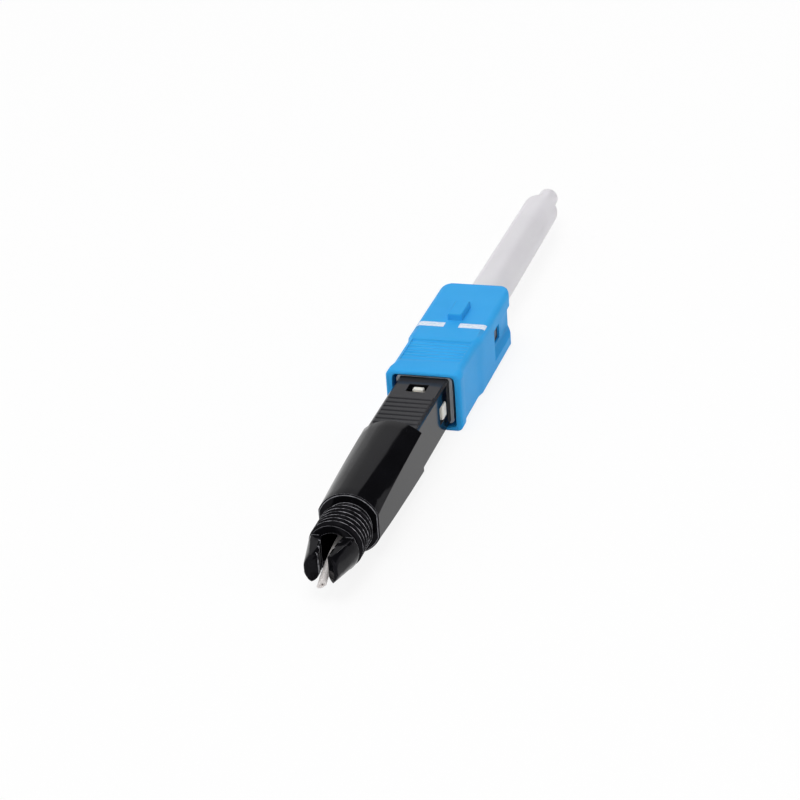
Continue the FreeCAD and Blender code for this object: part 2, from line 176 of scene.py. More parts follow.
def mouldedPlastic(name, own):
    look = dict(plainMoulding, **own)
    material, tree = newMaterial(name)
    place = addNode(tree, "ShaderNodeTexCoord").outputs["Object"]
    drift = addNode(tree, "ShaderNodeTexNoise",
                    {"Scale": perMm(look["driftSize"]), "Detail": look["driftDetail"]}, {"Vector": place})
    color = addNode(tree, "ShaderNodeMix",
                    {mixFirst: hexColor(look["deep"]), mixSecond: hexColor(look["pale"])},
                    {mixShare: drift.outputs["Fac"]}, data_type="RGBA")
    grain = addNode(tree, "ShaderNodeTexNoise",
                    {"Scale": perMm(look["grainSize"]), "Detail": look["grainDetail"],
                     "Roughness": look["grainFineness"]}, {"Vector": place})
    gloss = addNode(tree, "ShaderNodeMapRange",
                    {"To Min": look["roughness"][0], "To Max": look["roughness"][1]},
                    {"Value": grain.outputs["Fac"]})
    relief = addNode(tree, "ShaderNodeBump", {"Distance": look["grainDepth"] * mm, "Strength": 1.0},
                     {"Height": grain.outputs["Fac"]})
    tint = color.outputs[mixResult]
    if "worn" in look:
        # faces with the attribute are painted paler, a painted highlight for glints on edges and sheen on
        # tops; the strongest in patches
        marked = addNode(tree, "ShaderNodeAttribute", attribute_name="worn").outputs["Fac"]
        patches = addNode(tree, "ShaderNodeTexNoise", {"Scale": perMm(look["wornSize"])},
                          {"Vector": place})
        spared = addNode(tree, "ShaderNodeMapRange",
                         {"From Min": look["wornPatches"][0], "From Max": look["wornPatches"][1],
                          "To Min": look["wornSpared"], "To Max": 0.0},
                         {"Value": patches.outputs["Fac"]})
        strong = addNode(tree, "ShaderNodeMath", None, {0: marked, 1: marked}, operation="MULTIPLY")
        missed = addNode(tree, "ShaderNodeMath", None,
                         {0: strong.outputs[0], 1: spared.outputs["Result"]}, operation="MULTIPLY")
        highlightShare = addNode(tree, "ShaderNodeMath", None, {0: marked, 1: missed.outputs[0]},
                         operation="SUBTRACT")
        tint = addNode(tree, "ShaderNodeMix", {mixSecond: hexColor(look["worn"])},
                       {mixShare: highlightShare.outputs[0], mixFirst: tint},
                       data_type="RGBA").outputs[mixResult]
    shader = addNode(tree, "ShaderNodeBsdfPrincipled",
                     {"IOR": look["ior"], "Specular IOR Level": look["shine"],
                      "Specular Tint": hexColor(look["shineTint"]),
                      "Subsurface Weight": look["glow"], "Subsurface Scale": mm,
                      "Subsurface Radius": look["glowRadius"], "Transmission Weight": look["clear"]},
                     {"Base Color": tint, "Roughness": gloss.outputs["Result"],
                      "Normal": relief.outputs["Normal"]})
    closeMaterial(tree, shader)
    return material


# Blue PBT from a finely eroded mould: an even satin blue, a touch lighter where light gets into it.
# The erosion is some 0.05 mm wide; it is drawn at 0.22 mm so that it shows.
bluePbt = mouldedPlastic("blue PBT, satin moulded", {
    "deep": "#30A2E7", "pale": "#3CACF0", "driftSize": 4.0,
    "grainSize": 0.22, "grainDepth": 0.004, "roughness": (0.38, 0.52), "shine": 0.06,
    "ior": 1.54, "glow": 0.08, "glowRadius": (0.1, 0.3, 0.6)})

# Black PBT from a polished mould: nearly black, so what the eye gets is the reflected studio,
# and pale painted highlights on the thread's crests and the edges of the tail, standing in for their
# glints.
blackPbt = mouldedPlastic("black PBT, gloss moulded", {
    "deep": "#09090B", "pale": "#111114", "driftSize": 3.0,
    "grainSize": 0.3, "grainDepth": 0.0008, "roughness": (0.06, 0.13),
    "shine": 0.07, "shineTint": "#F4F0FF", "ior": 1.54,
    "worn": "#C0C0C6", "wornSize": 0.6, "wornPatches": (0.4, 0.62), "wornSpared": 0.88})

# Grey PBT with glass fibre: dull and slightly cloudy.
greyPbt = mouldedPlastic("grey glass-filled PBT, moulded", {
    "deep": "#A4A8AD", "pale": "#B9BCC0", "driftSize": 1.2,
    "grainSize": 0.15, "grainDepth": 0.004, "roughness": (0.42, 0.58), "ior": 1.54})

# Natural acetal: milky white, waxy gloss.
whiteAcetal = mouldedPlastic("white acetal, moulded", {
    "deep": "#E4E1D8", "pale": "#F1EEE6", "driftSize": 2.0,
    "grainSize": 0.2, "grainDepth": 0.002, "roughness": (0.28, 0.38),
    "ior": 1.48, "glow": 0.25, "glowRadius": (0.6, 0.55, 0.5)})

# Grey liquid crystal polymer of the ferrule's collar: flow lines and a dry gloss.
collarPolymer = mouldedPlastic("grey liquid crystal polymer, moulded", {
    "deep": "#9A9C9C", "pale": "#B3B4B2", "driftSize": 0.8,
    "grainSize": 0.12, "grainDepth": 0.003, "roughness": (0.4, 0.5), "ior": 1.6})

# Natural nylon, extruded to a thin tube: whitish, lets some light through.
tubeNylon = mouldedPlastic("natural nylon, extruded", {
    "deep": "#EAE4E2", "pale": "#F4F0EE", "driftSize": 1.0,
    "grainSize": 0.15, "grainDepth": 0.0005, "roughness": (0.22, 0.34), "shine": 0.3,
    "ior": 1.4, "clear": 0.2})

# Natural polyethylene of the cap: a cloudy lilac white that lets a little light through.
capPolyethylene = mouldedPlastic("natural polyethylene, moulded", {
    "deep": "#EDEAF0", "pale": "#F7F5F9", "driftSize": 5.0,
    "grainSize": 0.3, "grainDepth": 0.003, "roughness": (0.3, 0.42), "shine": 0.3,
    "ior": 1.51, "glow": 0.35, "glowRadius": (2.0, 2.0, 2.0), "clear": 0.22})


# Ink of the index marks

markInk = {"thin": "#C6DCF4", "full": "#E9EDF8", "cover": (0.35, 0.6),
           "patchSize": 0.35, "patchDetail": 3.0, "depth": 0.002, "roughness": 0.55}


def printedInk():
    # Pad-printed ink: a thin matt white coat, a little uneven, blue just showing through.
    material, tree = newMaterial("white ink, pad printed")
    place = addNode(tree, "ShaderNodeTexCoord").outputs["Object"]
    patches = addNode(tree, "ShaderNodeTexNoise",
                      {"Scale": perMm(markInk["patchSize"]), "Detail": markInk["patchDetail"]},
                      {"Vector": place})
    cover = addNode(tree, "ShaderNodeMapRange",
                    {"From Min": markInk["cover"][0], "From Max": markInk["cover"][1]},
                    {"Value": patches.outputs["Fac"]})
    color = addNode(tree, "ShaderNodeMix",
                    {mixFirst: hexColor(markInk["thin"]), mixSecond: hexColor(markInk["full"])},
                    {mixShare: cover.outputs["Result"]}, data_type="RGBA")
    relief = addNode(tree, "ShaderNodeBump", {"Distance": markInk["depth"] * mm},
                     {"Height": patches.outputs["Fac"]})
    shader = addNode(tree, "ShaderNodeBsdfPrincipled", {"Roughness": markInk["roughness"]},
                     {"Base Color": color.outputs[mixResult], "Normal": relief.outputs["Normal"]})
    closeMaterial(tree, shader)
    return material


whiteInk = printedInk()


# Ceramic of the ferrule

ferruleCeramic = {"deep": "#E9E6DC", "pale": "#F6F4EE", "cloudSize": 0.8, "cloudDetail": 4.0,
                  "roughness": (0.08, 0.16), "ior": 2.15, "glow": 0.15, "glowRadius": (0.3, 0.28, 0.25)}


def polishedZirconia():
    # Sintered and polished ceramic: dense warm white with a hard, near-mirror gloss.
    material, tree = newMaterial("zirconia, polished")
    place = addNode(tree, "ShaderNodeTexCoord").outputs["Object"]
    cloud = addNode(tree, "ShaderNodeTexNoise",
                    {"Scale": perMm(ferruleCeramic["cloudSize"]), "Detail": ferruleCeramic["cloudDetail"]},
                    {"Vector": place})
    color = addNode(tree, "ShaderNodeMix",
                    {mixFirst: hexColor(ferruleCeramic["deep"]),
                     mixSecond: hexColor(ferruleCeramic["pale"])},
                    {mixShare: cloud.outputs["Fac"]}, data_type="RGBA")
    low, high = ferruleCeramic["roughness"]
    gloss = addNode(tree, "ShaderNodeMapRange", {"To Min": low, "To Max": high},
                    {"Value": cloud.outputs["Fac"]})
    shader = addNode(tree, "ShaderNodeBsdfPrincipled",
                     {"IOR": ferruleCeramic["ior"], "Subsurface Weight": ferruleCeramic["glow"],
                      "Subsurface Scale": mm, "Subsurface Radius": ferruleCeramic["glowRadius"]},
                     {"Base Color": color.outputs[mixResult], "Roughness": gloss.outputs["Result"]})
    closeMaterial(tree, shader)
    return material


zirconia = polishedZirconia()


# Metals of the spring, the clip and the splice plates

def workedMetal(name, look):
    # Bright metal, its gloss broken by fine marks that the stretch draws out along the way it was worked.
    material, tree = newMaterial(name)
    place = addNode(tree, "ShaderNodeTexCoord").outputs["Object"]
    along = addNode(tree, "ShaderNodeMapping", {"Scale": look["stretch"]}, {"Vector": place})
    lines = addNode(tree, "ShaderNodeTexNoise",
                    {"Scale": perMm(look["lineWidth"]), "Detail": look["lineDetail"]},
                    {"Vector": along.outputs["Vector"]})
    color = addNode(tree, "ShaderNodeMix",
                    {mixFirst: hexColor(look["deep"]), mixSecond: hexColor(look["pale"])},
                    {mixShare: lines.outputs["Fac"]}, data_type="RGBA")
    gloss = addNode(tree, "ShaderNodeMapRange",
                    {"To Min": look["roughness"][0], "To Max": look["roughness"][1]},
                    {"Value": lines.outputs["Fac"]})
    relief = addNode(tree, "ShaderNodeBump", {"Distance": look["lineDepth"] * mm},
                     {"Height": lines.outputs["Fac"]})
    shader = addNode(tree, "ShaderNodeBsdfPrincipled", {"Metallic": 1.0},
                     {"Base Color": color.outputs[mixResult], "Roughness": gloss.outputs["Result"],
                      "Normal": relief.outputs["Normal"]})
    closeMaterial(tree, shader)
    return material


# Spring steel: drawn bright, a warm grey with soft gloss.
springSteel = workedMetal("spring steel, drawn wire", {
    "deep": "#A9A6A0", "pale": "#CBC9C4", "lineWidth": 0.12, "lineDetail": 5.0, "lineDepth": 0.002,
    "stretch": (1.0, 1.0, 1.0), "roughness": (0.2, 0.34)})

# Milled aluminium: cool and pale, with cutter lines along the fibre.
spliceAluminium = workedMetal("aluminium, milled", {
    "deep": "#B4B6B8", "pale": "#D2D3D4", "lineWidth": 0.1, "lineDetail": 5.0, "lineDepth": 0.002,
    "stretch": (1.0, 0.05, 1.0), "roughness": (0.24, 0.4)})


# Glass of the fibre stub

stubGlass = {"color": "#F4F8F8", "cloudSize": 0.1, "roughness": (0.02, 0.08), "ior": 1.46, "clear": 0.9}


def drawnGlass():
    # Drawn silica fibre: clear, with a gloss that varies faintly.
    material, tree = newMaterial("silica glass, drawn")
    place = addNode(tree, "ShaderNodeTexCoord").outputs["Object"]
    cloud = addNode(tree, "ShaderNodeTexNoise", {"Scale": perMm(stubGlass["cloudSize"])},
                    {"Vector": place})
    gloss = addNode(tree, "ShaderNodeMapRange",
                    {"To Min": stubGlass["roughness"][0], "To Max": stubGlass["roughness"][1]},
                    {"Value": cloud.outputs["Fac"]})
    shader = addNode(tree, "ShaderNodeBsdfPrincipled",
                     {"Base Color": hexColor(stubGlass["color"]), "IOR": stubGlass["ior"],
                      "Transmission Weight": stubGlass["clear"]},
                     {"Roughness": gloss.outputs["Result"]})
    closeMaterial(tree, shader)
    return material


fibreGlass = drawnGlass()
print("materials ready:", len(bpy.data.materials))


# Finer copies of CAD pieces: triangles joined to whole faces, sharp edges broken.
# Angles are in degrees; an edge is broken where its faces have roomPerWidth times the break's width.
edgeWork = {"flatAngle": 0.02, "alongAngle": 25, "roomPerWidth": 2.5, "arcSteps": 3, "smoothAngle": 35}


def edgeRoom(edge):
    # how far a bevel can reach over the two faces before it meets their other edges
    room = math.inf
    way = (edge.verts[1].co - edge.verts[0].co).normalized()
    for face in edge.link_faces:
        for other in face.edges:
            if other is edge or not set(other.verts) & set(edge.verts):
                continue
            arm = other.verts[1].co - other.verts[0].co
            reach = arm.cross(way).length
            sameLine = reach < arm.length * math.sin(math.radians(edgeWork["alongAngle"]))
            if not (sameLine and other.tag):
                room = min(room, reach)
    return room


def edgeChains(edges):
    # edges that hang together, so that a tight spot only narrows its own chain
    for edge in edges:
        edge.tag = True
    chains = []
    for edge in edges:
        if not edge.tag:
            continue
        edge.tag = False
        chain = [edge]
        for link in chain:
            for other in [e for v in link.verts for e in v.link_edges if e.tag]:
                other.tag = False
                chain.append(other)
        chains.append(chain)
    return chains


def finerCopy(node, name, material, look):
    width = look["edgeBreak"] * mm
    wornFrom, highlightTo = look.get("wornSpan", (0.0, 0.0))
    bm = bmesh.new()
    bm.from_mesh(frame["nodes"][node].data)
    bmesh.ops.remove_doubles(bm, verts=bm.verts, dist=weldGap)
    if "reshape" in look:
        look["reshape"](bm)
    flat = math.radians(edgeWork["flatAngle"])
    bmesh.ops.dissolve_limit(bm, angle_limit=flat, verts=bm.verts, edges=bm.edges)
    worn = bm.faces.layers.float.new("worn")
    sharp = math.radians(look["sharpAngle"])
    for edge in bm.edges:
        edge.tag = edge.is_manifold and edge.calc_face_angle() > sharp
    roomy = [e for e in bm.edges if e.tag and edgeRoom(e) > edgeWork["roomPerWidth"] * width]
    for edge in bm.edges:
        edge.tag = False
    for chain in edgeChains(roomy):
        broken = bmesh.ops.bevel(bm, geom=chain, offset=width, offset_type="OFFSET",
                                 segments=edgeWork["arcSteps"], profile=0.5,
                                 affect="EDGES", clamp_overlap=True, material=-1)
        # bevel faces in the span get a painted highlight: pale lines standing in for glints on the edges
        for face in broken["faces"]:
            if wornFrom < face.calc_center_median().y < highlightTo:
                face[worn] = look["wornEdge"]
    mesh = meshFrom(bm, name)
    smoothByAngle(mesh, edgeWork["smoothAngle"])
    piece = newPiece(name, mesh, material)
    flats = piece.modifiers.new("flatFaces", "WEIGHTED_NORMAL")
    flats.keep_sharp = True
    bakeModifiers(piece, material)
    return piece


# Turned pieces: a profile spun about the fibre axis

turnedSmooth = 40  # degrees up to which neighbouring faces are shaded as one


def roundCorners(points, steps):
    # points are (radius, station, corner radius) in mm; each corner becomes an arc
    path = []
    count = len(points)
    for i in range(count):
        here = Vector(points[i][:2])
        corner = points[i][2]
        if corner == 0:
            path.append(here)
            continue
        toLast = (Vector(points[i - 1][:2]) - here).normalized()
        toNext = (Vector(points[(i + 1) % count][:2]) - here).normalized()
        half = toLast.angle(toNext) / 2
        start = here + toLast * corner / math.tan(half)
        centre = here + (toLast + toNext).normalized() * corner / math.sin(half)
        turn = (start - centre).angle_signed(here + toNext * corner / math.tan(half) - centre)
        for k in range(steps + 1):
            arm = (start - centre).copy()
            arm.rotate(Matrix.Rotation(-turn * k / steps, 2))
            path.append(centre + arm)
    return path


def lathe(name, points, material, sides, cornerSteps):
    bm = bmesh.new()
    rings = []
    for radius, station in roundCorners(points, cornerSteps):
        if radius * mm < weldGap:
            rings.append([bm.verts.new((0, station * mm, axisHeight))])
            continue
        ring = []
        for k in range(sides):
            turn = 2 * math.pi * k / sides
            ring.append(bm.verts.new((radius * mm * math.cos(turn), station * mm,
                                      axisHeight + radius * mm * math.sin(turn))))
        rings.append(ring)
    for first, second in zip(rings, rings[1:] + rings[:1]):
        bridgeRings(bm, first, second)
    bmesh.ops.recalc_face_normals(bm, faces=bm.faces)
    mesh = meshFrom(bm, name)
    smoothByAngle(mesh, turnedSmooth)
    return newPiece(name, mesh, material)


# Coupling housing

couplingHousing = {"edgeBreak": 0.12, "sharpAngle": 28, "noseRound": 2.7, "noseCuts": 9}


def roundNose(bm):
    # the front corners are rounder in plan than the CAD's: cut along planes that touch the arc
    radius = couplingHousing["noseRound"] * mm
    for side in (-1, 1):
        centre = Vector((side * (housingHigh.x - radius), housingHigh.y - radius, 0))
        for k in range(couplingHousing["noseCuts"]):
            turn = math.pi / 2 * (k + 0.5) / couplingHousing["noseCuts"]
            out = Vector((side * math.sin(turn), math.cos(turn), 0))
            bmesh.ops.bisect_plane(bm, geom=bm.verts[:] + bm.edges[:] + bm.faces[:], dist=weldGap,
                                   plane_co=centre + out * radius, plane_no=out, clear_outer=True)
            bmesh.ops.holes_fill(bm, edges=[e for e in bm.edges if e.is_boundary], sides=0)


def buildHousing():
    look = dict(couplingHousing, reshape=roundNose)
    piece = finerCopy("outer_housing", "coupling_housing", bluePbt, look)
    seat(piece, "outer_housing")


# Plug frame, the white carrier and the ferrule's collar inside

plugFrame = {"edgeBreak": 0.03, "sharpAngle": 28}
spliceCarrier = {"edgeBreak": 0.06, "sharpAngle": 28}
ferruleCollar = {"edgeBreak": 0.06, "sharpAngle": 28}


def buildInside():
    seat(finerCopy("plug_frame", "inner_frame", greyPbt, plugFrame), "plug_frame")
    seat(finerCopy("splice_carrier", "splice_holder", whiteAcetal, spliceCarrier),
         "splice_carrier")
    seat(finerCopy("ferrule_flange", "ferrule_collar", collarPolymer, ferruleCollar),
         "ferrule_flange")


# Ferrule, turned: chamfered at the rear, a blended cone at the tip

ferrule = {"radius": 1.25, "hole": 0.065, "chamfer": 0.35, "rearRound": 0.05, "tipLength": 0.7,
           "tipRound": 0.12, "sides": 72, "cornerSteps": 5}


def buildFerrule():
    low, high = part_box("ferrule")
    rear, tip = low.y / mm, high.y / mm
    outer, small = ferrule["radius"], ferrule["radius"] - ferrule["chamfer"]
    points = [(ferrule["hole"], rear, 0), (small, rear, ferrule["rearRound"]),
              (outer, rear + ferrule["chamfer"], ferrule["rearRound"]),
              (outer, tip - ferrule["tipLength"], ferrule["tipRound"]), (small, tip, ferrule["tipRound"]),
              (ferrule["hole"], tip, 0)]
    piece = lathe("ceramic_ferrule", points, zirconia, ferrule["sides"], ferrule["cornerSteps"])
    seat(piece, "ferrule")


# Dust cap, turned, with its real bore

dustCap = {"taper": 0.13, "edge": 0.3, "boreEdge": 0.24, "boreRadius": 1.27, "boreLength": 33.1,
           "boreRound": 0.1, "nubRadius": 1.33, "nubLength": 5.0, "nubRound": 0.6, "nubRoot": 0.2,
           "sides": 96, "cornerSteps": 8}


def buildDustCap():
    outer = (capHigh.x - capLow.x) / 2 / mm
    mouth, end = capLow.y / mm, capHigh.y / mm
    bodyEnd = end - dustCap["nubLength"]
    bore, nub = dustCap["boreRadius"], dustCap["nubRadius"]
    boreEnd = mouth + dustCap["boreLength"]
    points = [(bore, mouth, dustCap["boreEdge"]), (outer, mouth, dustCap["edge"]),
              (outer - dustCap["taper"], bodyEnd, dustCap["edge"]),
              (nub, bodyEnd, dustCap["nubRoot"]), (nub, end, dustCap["nubRound"]), (0, end, 0),
              (0, boreEnd, 0), (bore, boreEnd, dustCap["boreRound"])]
    piece = lathe("dust_cover", points, capPolyethylene, dustCap["sides"], dustCap["cornerSteps"])
    seat(piece, "dust_cap")


# Black body: the CAD form with its tail turned down to the root of the thread. Lengths are in mm from
# the tip of the tail; toothLevel, toothLean and neckUp are limits on the parts of a face's normal.
tailThread = {"fromTip": 4.5, "length": 4.9, "pitch": 0.68, "root": 2.56, "crest": 2.95, "spare": 0.01,
              "foot": 0.6, "crestFlat": 0.055, "round": 0.03, "sunk": 0.06, "fade": 0.03,
              "wornDepth": 0.009, "steps": 72}
# Edges near the tip and the teeth's flanks get a painted highlight, the ribbed top a faint painted sheen.
blackBody = {"edgeBreak": 0.05, "sharpAngle": 24, "wornFromTip": (0.9, 10.1), "wornEdge": 0.5,
             "toothReach": 1.3, "toothLevel": 0.05, "toothLean": (-0.95, -0.85), "toothHighlight": 1.0,
             "neckFromTip": (27.2, 39.4), "neckUp": 0.2, "neckSheen": 0.06}


def turnDownTail(bm):
    low = tailTip + tailThread["fromTip"] * mm
    high = low + tailThread["length"] * mm
    spare = tailThread["spare"] * mm
    for vert in bm.verts:
        arm = Vector((vert.co.x, 0, vert.co.z - axisHeight))
        onThread = low - spare < vert.co.y < high + spare
        if onThread and abs(arm.length - tailThread["crest"] * mm) < spare:
            arm *= tailThread["root"] * mm / arm.length
            vert.co = (arm.x, vert.co.y, axisHeight + arm.z)


def buildBody():
    look = dict(blackBody, reshape=turnDownTail)
    look["wornSpan"] = [tailTip + length * mm for length in blackBody["wornFromTip"]]
    piece = finerCopy("main_body", "black_body", blackPbt, look)
    jawRoot = tailTip + tailThread["fromTip"] * mm
    reach = blackBody["toothReach"] * mm
    leanLow, leanHigh = blackBody["toothLean"]
    neckLow, neckHigh = [tailTip + length * mm for length in blackBody["neckFromTip"]]
    for face, mark in zip(piece.data.polygons, piece.data.attributes["worn"].data):
        inGap = face.center.y < jawRoot and abs(face.center.x) < reach
        level = abs(face.normal.z) < blackBody["toothLevel"]
        if inGap and level and leanLow < face.normal.y < leanHigh:
            mark.value = blackBody["toothHighlight"]  # flanks of the jaws' teeth that look to the rear get a painted highlight, for their glints
        if neckLow < face.center.y < neckHigh and face.normal.z > blackBody["neckUp"]:
            mark.value = blackBody["neckSheen"]  # the ribbed top gets a faint painted sheen, lighter where it faces up
    seat(piece, "main_body")


# Coils by Geometry Nodes: a spiral along Y with a ridge or a wire for its section

coilWork = {"endSize": 0.02, "ridgeSteps": 3, "wireSides": 16, "weld": 0.0002, "smoothAngle": 35}
coilInputs = {"Turns": "Float", "Radius": "Float", "Height": "Float", "Steps": "Int", "Foot": "Float",
              "Crest": "Float", "Rise": "Float", "Round": "Float", "Fade": "Float", "Closed End": "Float",
              "Start": "Vector", "Material": "Material"}


def coilTree(name, section):
    tree = bpy.data.node_groups.new(name, "GeometryNodeTree")
    tree.interface.new_socket("Geometry", in_out="OUTPUT", socket_type="NodeSocketGeometry")
    for label, kind in coilInputs.items():
        tree.interface.new_socket(label, in_out="INPUT", socket_type="NodeSocket" + kind)
    given = addNode(tree, "NodeGroupInput").outputs
    spiral = addNode(tree, "GeometryNodeCurveSpiral", {"Reverse": True},  # a right-hand coil
                     {"Resolution": given["Steps"], "Rotations": given["Turns"], "Height": given["Height"],
                      "Start Radius": given["Radius"], "End Radius": given["Radius"]})
    share = addNode(tree, "GeometryNodeSplineParameter").outputs["Factor"]
    # the end turns lie closer together: their rise is held back by Closed End
    swing = addNode(tree, "ShaderNodeMath", {1: 2 * math.pi}, {0: share}, operation="MULTIPLY")
    sine = addNode(tree, "ShaderNodeMath", None, {0: swing.outputs[0]}, operation="SINE")
    held = addNode(tree, "ShaderNodeMath", None, {0: sine.outputs[0], 1: given["Closed End"]},
                   operation="MULTIPLY")
    lag = addNode(tree, "ShaderNodeMath", None, {0: held.outputs[0], 1: given["Height"]},
                  operation="MULTIPLY")
    down = addNode(tree, "ShaderNodeMath", {1: -1.0}, {0: lag.outputs[0]}, operation="MULTIPLY")
    offset = addNode(tree, "ShaderNodeCombineXYZ", None, {"Z": down.outputs[0]})
    spaced = addNode(tree, "GeometryNodeSetPosition", None,
                     {"Geometry": spiral.outputs["Curve"], "Offset": offset.outputs[0]})
    upright = addNode(tree, "GeometryNodeSetCurveNormal", None, {"Curve": spaced.outputs[0]}, mode="Z_UP")
    # the section swells from next to nothing at both ends, over the share Fade of the coil
    rest = addNode(tree, "ShaderNodeMath", {0: 1.0}, {1: share}, operation="SUBTRACT")
    near = addNode(tree, "ShaderNodeMath", None, {0: share, 1: rest.outputs[0]}, operation="MINIMUM")
    swell = addNode(tree, "ShaderNodeMapRange", {"To Min": coilWork["endSize"]},
                    {"Value": near.outputs[0], "From Max": given["Fade"]}, interpolation_type="SMOOTHSTEP")
    if section == "ridge":
        flat = addNode(tree, "GeometryNodeCurvePrimitiveQuadrilateral", {"Offset": 0.0},
                       {"Bottom Width": given["Foot"], "Top Width": given["Crest"],
                        "Height": given["Rise"]}, mode="TRAPEZOID")
        half = addNode(tree, "ShaderNodeMath", {1: 0.5}, {0: given["Rise"]}, operation="MULTIPLY")
        out = addNode(tree, "ShaderNodeCombineXYZ", None, {"X": half.outputs[0]})
        rounded = addNode(tree, "GeometryNodeFilletCurve",
                          {"Count": coilWork["ridgeSteps"], "Limit Radius": True},
                          {"Curve": flat.outputs[0], "Radius": given["Round"]}, mode="POLY")
        profile = addNode(tree, "GeometryNodeTransform", {"Rotation": (0, 0, -math.pi / 2)},
                          {"Geometry": rounded.outputs[0], "Translation": out.outputs[0]})
    else:
        profile = addNode(tree, "GeometryNodeCurvePrimitiveCircle", {"Resolution": coilWork["wireSides"]},
                          {"Radius": given["Foot"]})
    solid = addNode(tree, "GeometryNodeCurveToMesh", {"Fill Caps": True},
                    {"Curve": upright.outputs[0], "Profile Curve": profile.outputs[0],
                     "Scale": swell.outputs["Result"]})
    laid = addNode(tree, "GeometryNodeTransform", {"Rotation": (-math.pi / 2, 0, 0)},
                   {"Geometry": solid.outputs[0], "Translation": given["Start"]})
    real = addNode(tree, "GeometryNodeRealizeInstances", None, {"Geometry": laid.outputs[0]})
    painted = addNode(tree, "GeometryNodeSetMaterial", None,
                      {"Geometry": real.outputs[0], "Material": given["Material"]})
    addNode(tree, "NodeGroupOutput", links={"Geometry": painted.outputs[0]})
    return tree


def coilPiece(name, section, sizes, material):
    piece = newPiece(name, bpy.data.meshes.new(name), material)
    modifier = piece.modifiers.new("coil", "NODES")
    tree = coilTree(name + " coil", section)
    modifier.node_group = tree
    keys = {s.name: s.identifier for s in tree.interface.items_tree if s.in_out == "INPUT"}
    for label, value in dict(sizes, Material=material).items():
        modifier[keys[label]] = value
    bakeModifiers(piece, material)
    bm = bmesh.new()
    bm.from_mesh(piece.data)
    bmesh.ops.remove_doubles(bm, verts=bm.verts, dist=coilWork["weld"] * mm)
    bmesh.ops.recalc_face_normals(bm, faces=bm.faces)
    bm.to_mesh(piece.data)
    bm.free()
    smoothByAngle(piece.data, coilWork["smoothAngle"])
    return piece


def buildThread():
    start = tailTip + (tailThread["fromTip"] + tailThread["foot"] / 2) * mm
    height = tailThread["length"] - tailThread["foot"]
    ridge = coilPiece("tail_thread", "ridge", {
        "Turns": height / tailThread["pitch"], "Radius": (tailThread["root"] - tailThread["sunk"]) * mm,
        "Height": height * mm, "Steps": tailThread["steps"], "Foot": tailThread["foot"] * mm,
        "Crest": tailThread["crestFlat"] * mm,
        "Rise": (tailThread["crest"] - tailThread["root"] + tailThread["sunk"]) * mm,
        "Round": tailThread["round"] * mm, "Fade": tailThread["fade"],
        "Start": (0, start, axisHeight)}, blackPbt)
    # the crests get a painted highlight: pale lines standing in for glints
    crests = ridge.data.attributes.new("worn", "FLOAT", "FACE")
    for face, mark in zip(ridge.data.polygons, crests.data):
        fromAxis = math.hypot(face.center.x, face.center.z - axisHeight)
        mark.value = float(fromAxis > (tailThread["crest"] - tailThread["wornDepth"]) * mm)
    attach(ridge, "body")
    print("piece", ridge.name, "faces", len(ridge.data.polygons))


# Ferrule spring: a coil of wire with closed ends, as long as the CAD spring

ferruleSpring = {"radius": 1.6, "wire": 0.2, "turns": 6.5, "closedEnd": 0.045, "fade": 0.0001, "steps": 48}


def buildSpring():
    low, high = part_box("ferrule_spring")
    wire = ferruleSpring["wire"] * mm
    coil = coilPiece("carrier_spring", "wire", {
        "Turns": ferruleSpring["turns"], "Radius": ferruleSpring["radius"] * mm,
        "Height": high.y - low.y - 2 * wire, "Steps": ferruleSpring["steps"], "Foot": wire,
        "Fade": ferruleSpring["fade"], "Closed End": ferruleSpring["closedEnd"],
        "Start": (0, low.y + wire, axisHeight)}, springSteel)
    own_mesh(coil)
    seat(coil, "ferrule_spring")


# Guide tube: out of the inlet, drooping between the jaws, cut off at a slant

guideTube = {"radius": 0.45, "hole": 0.2, "bendInside": 8.5, "bendRadius": 22.0, "bendAngle": 22.0,
             "endLength": 0.3, "cutAngle": 35.0, "lip": 0.04, "bendSteps": 14, "sides": 36}


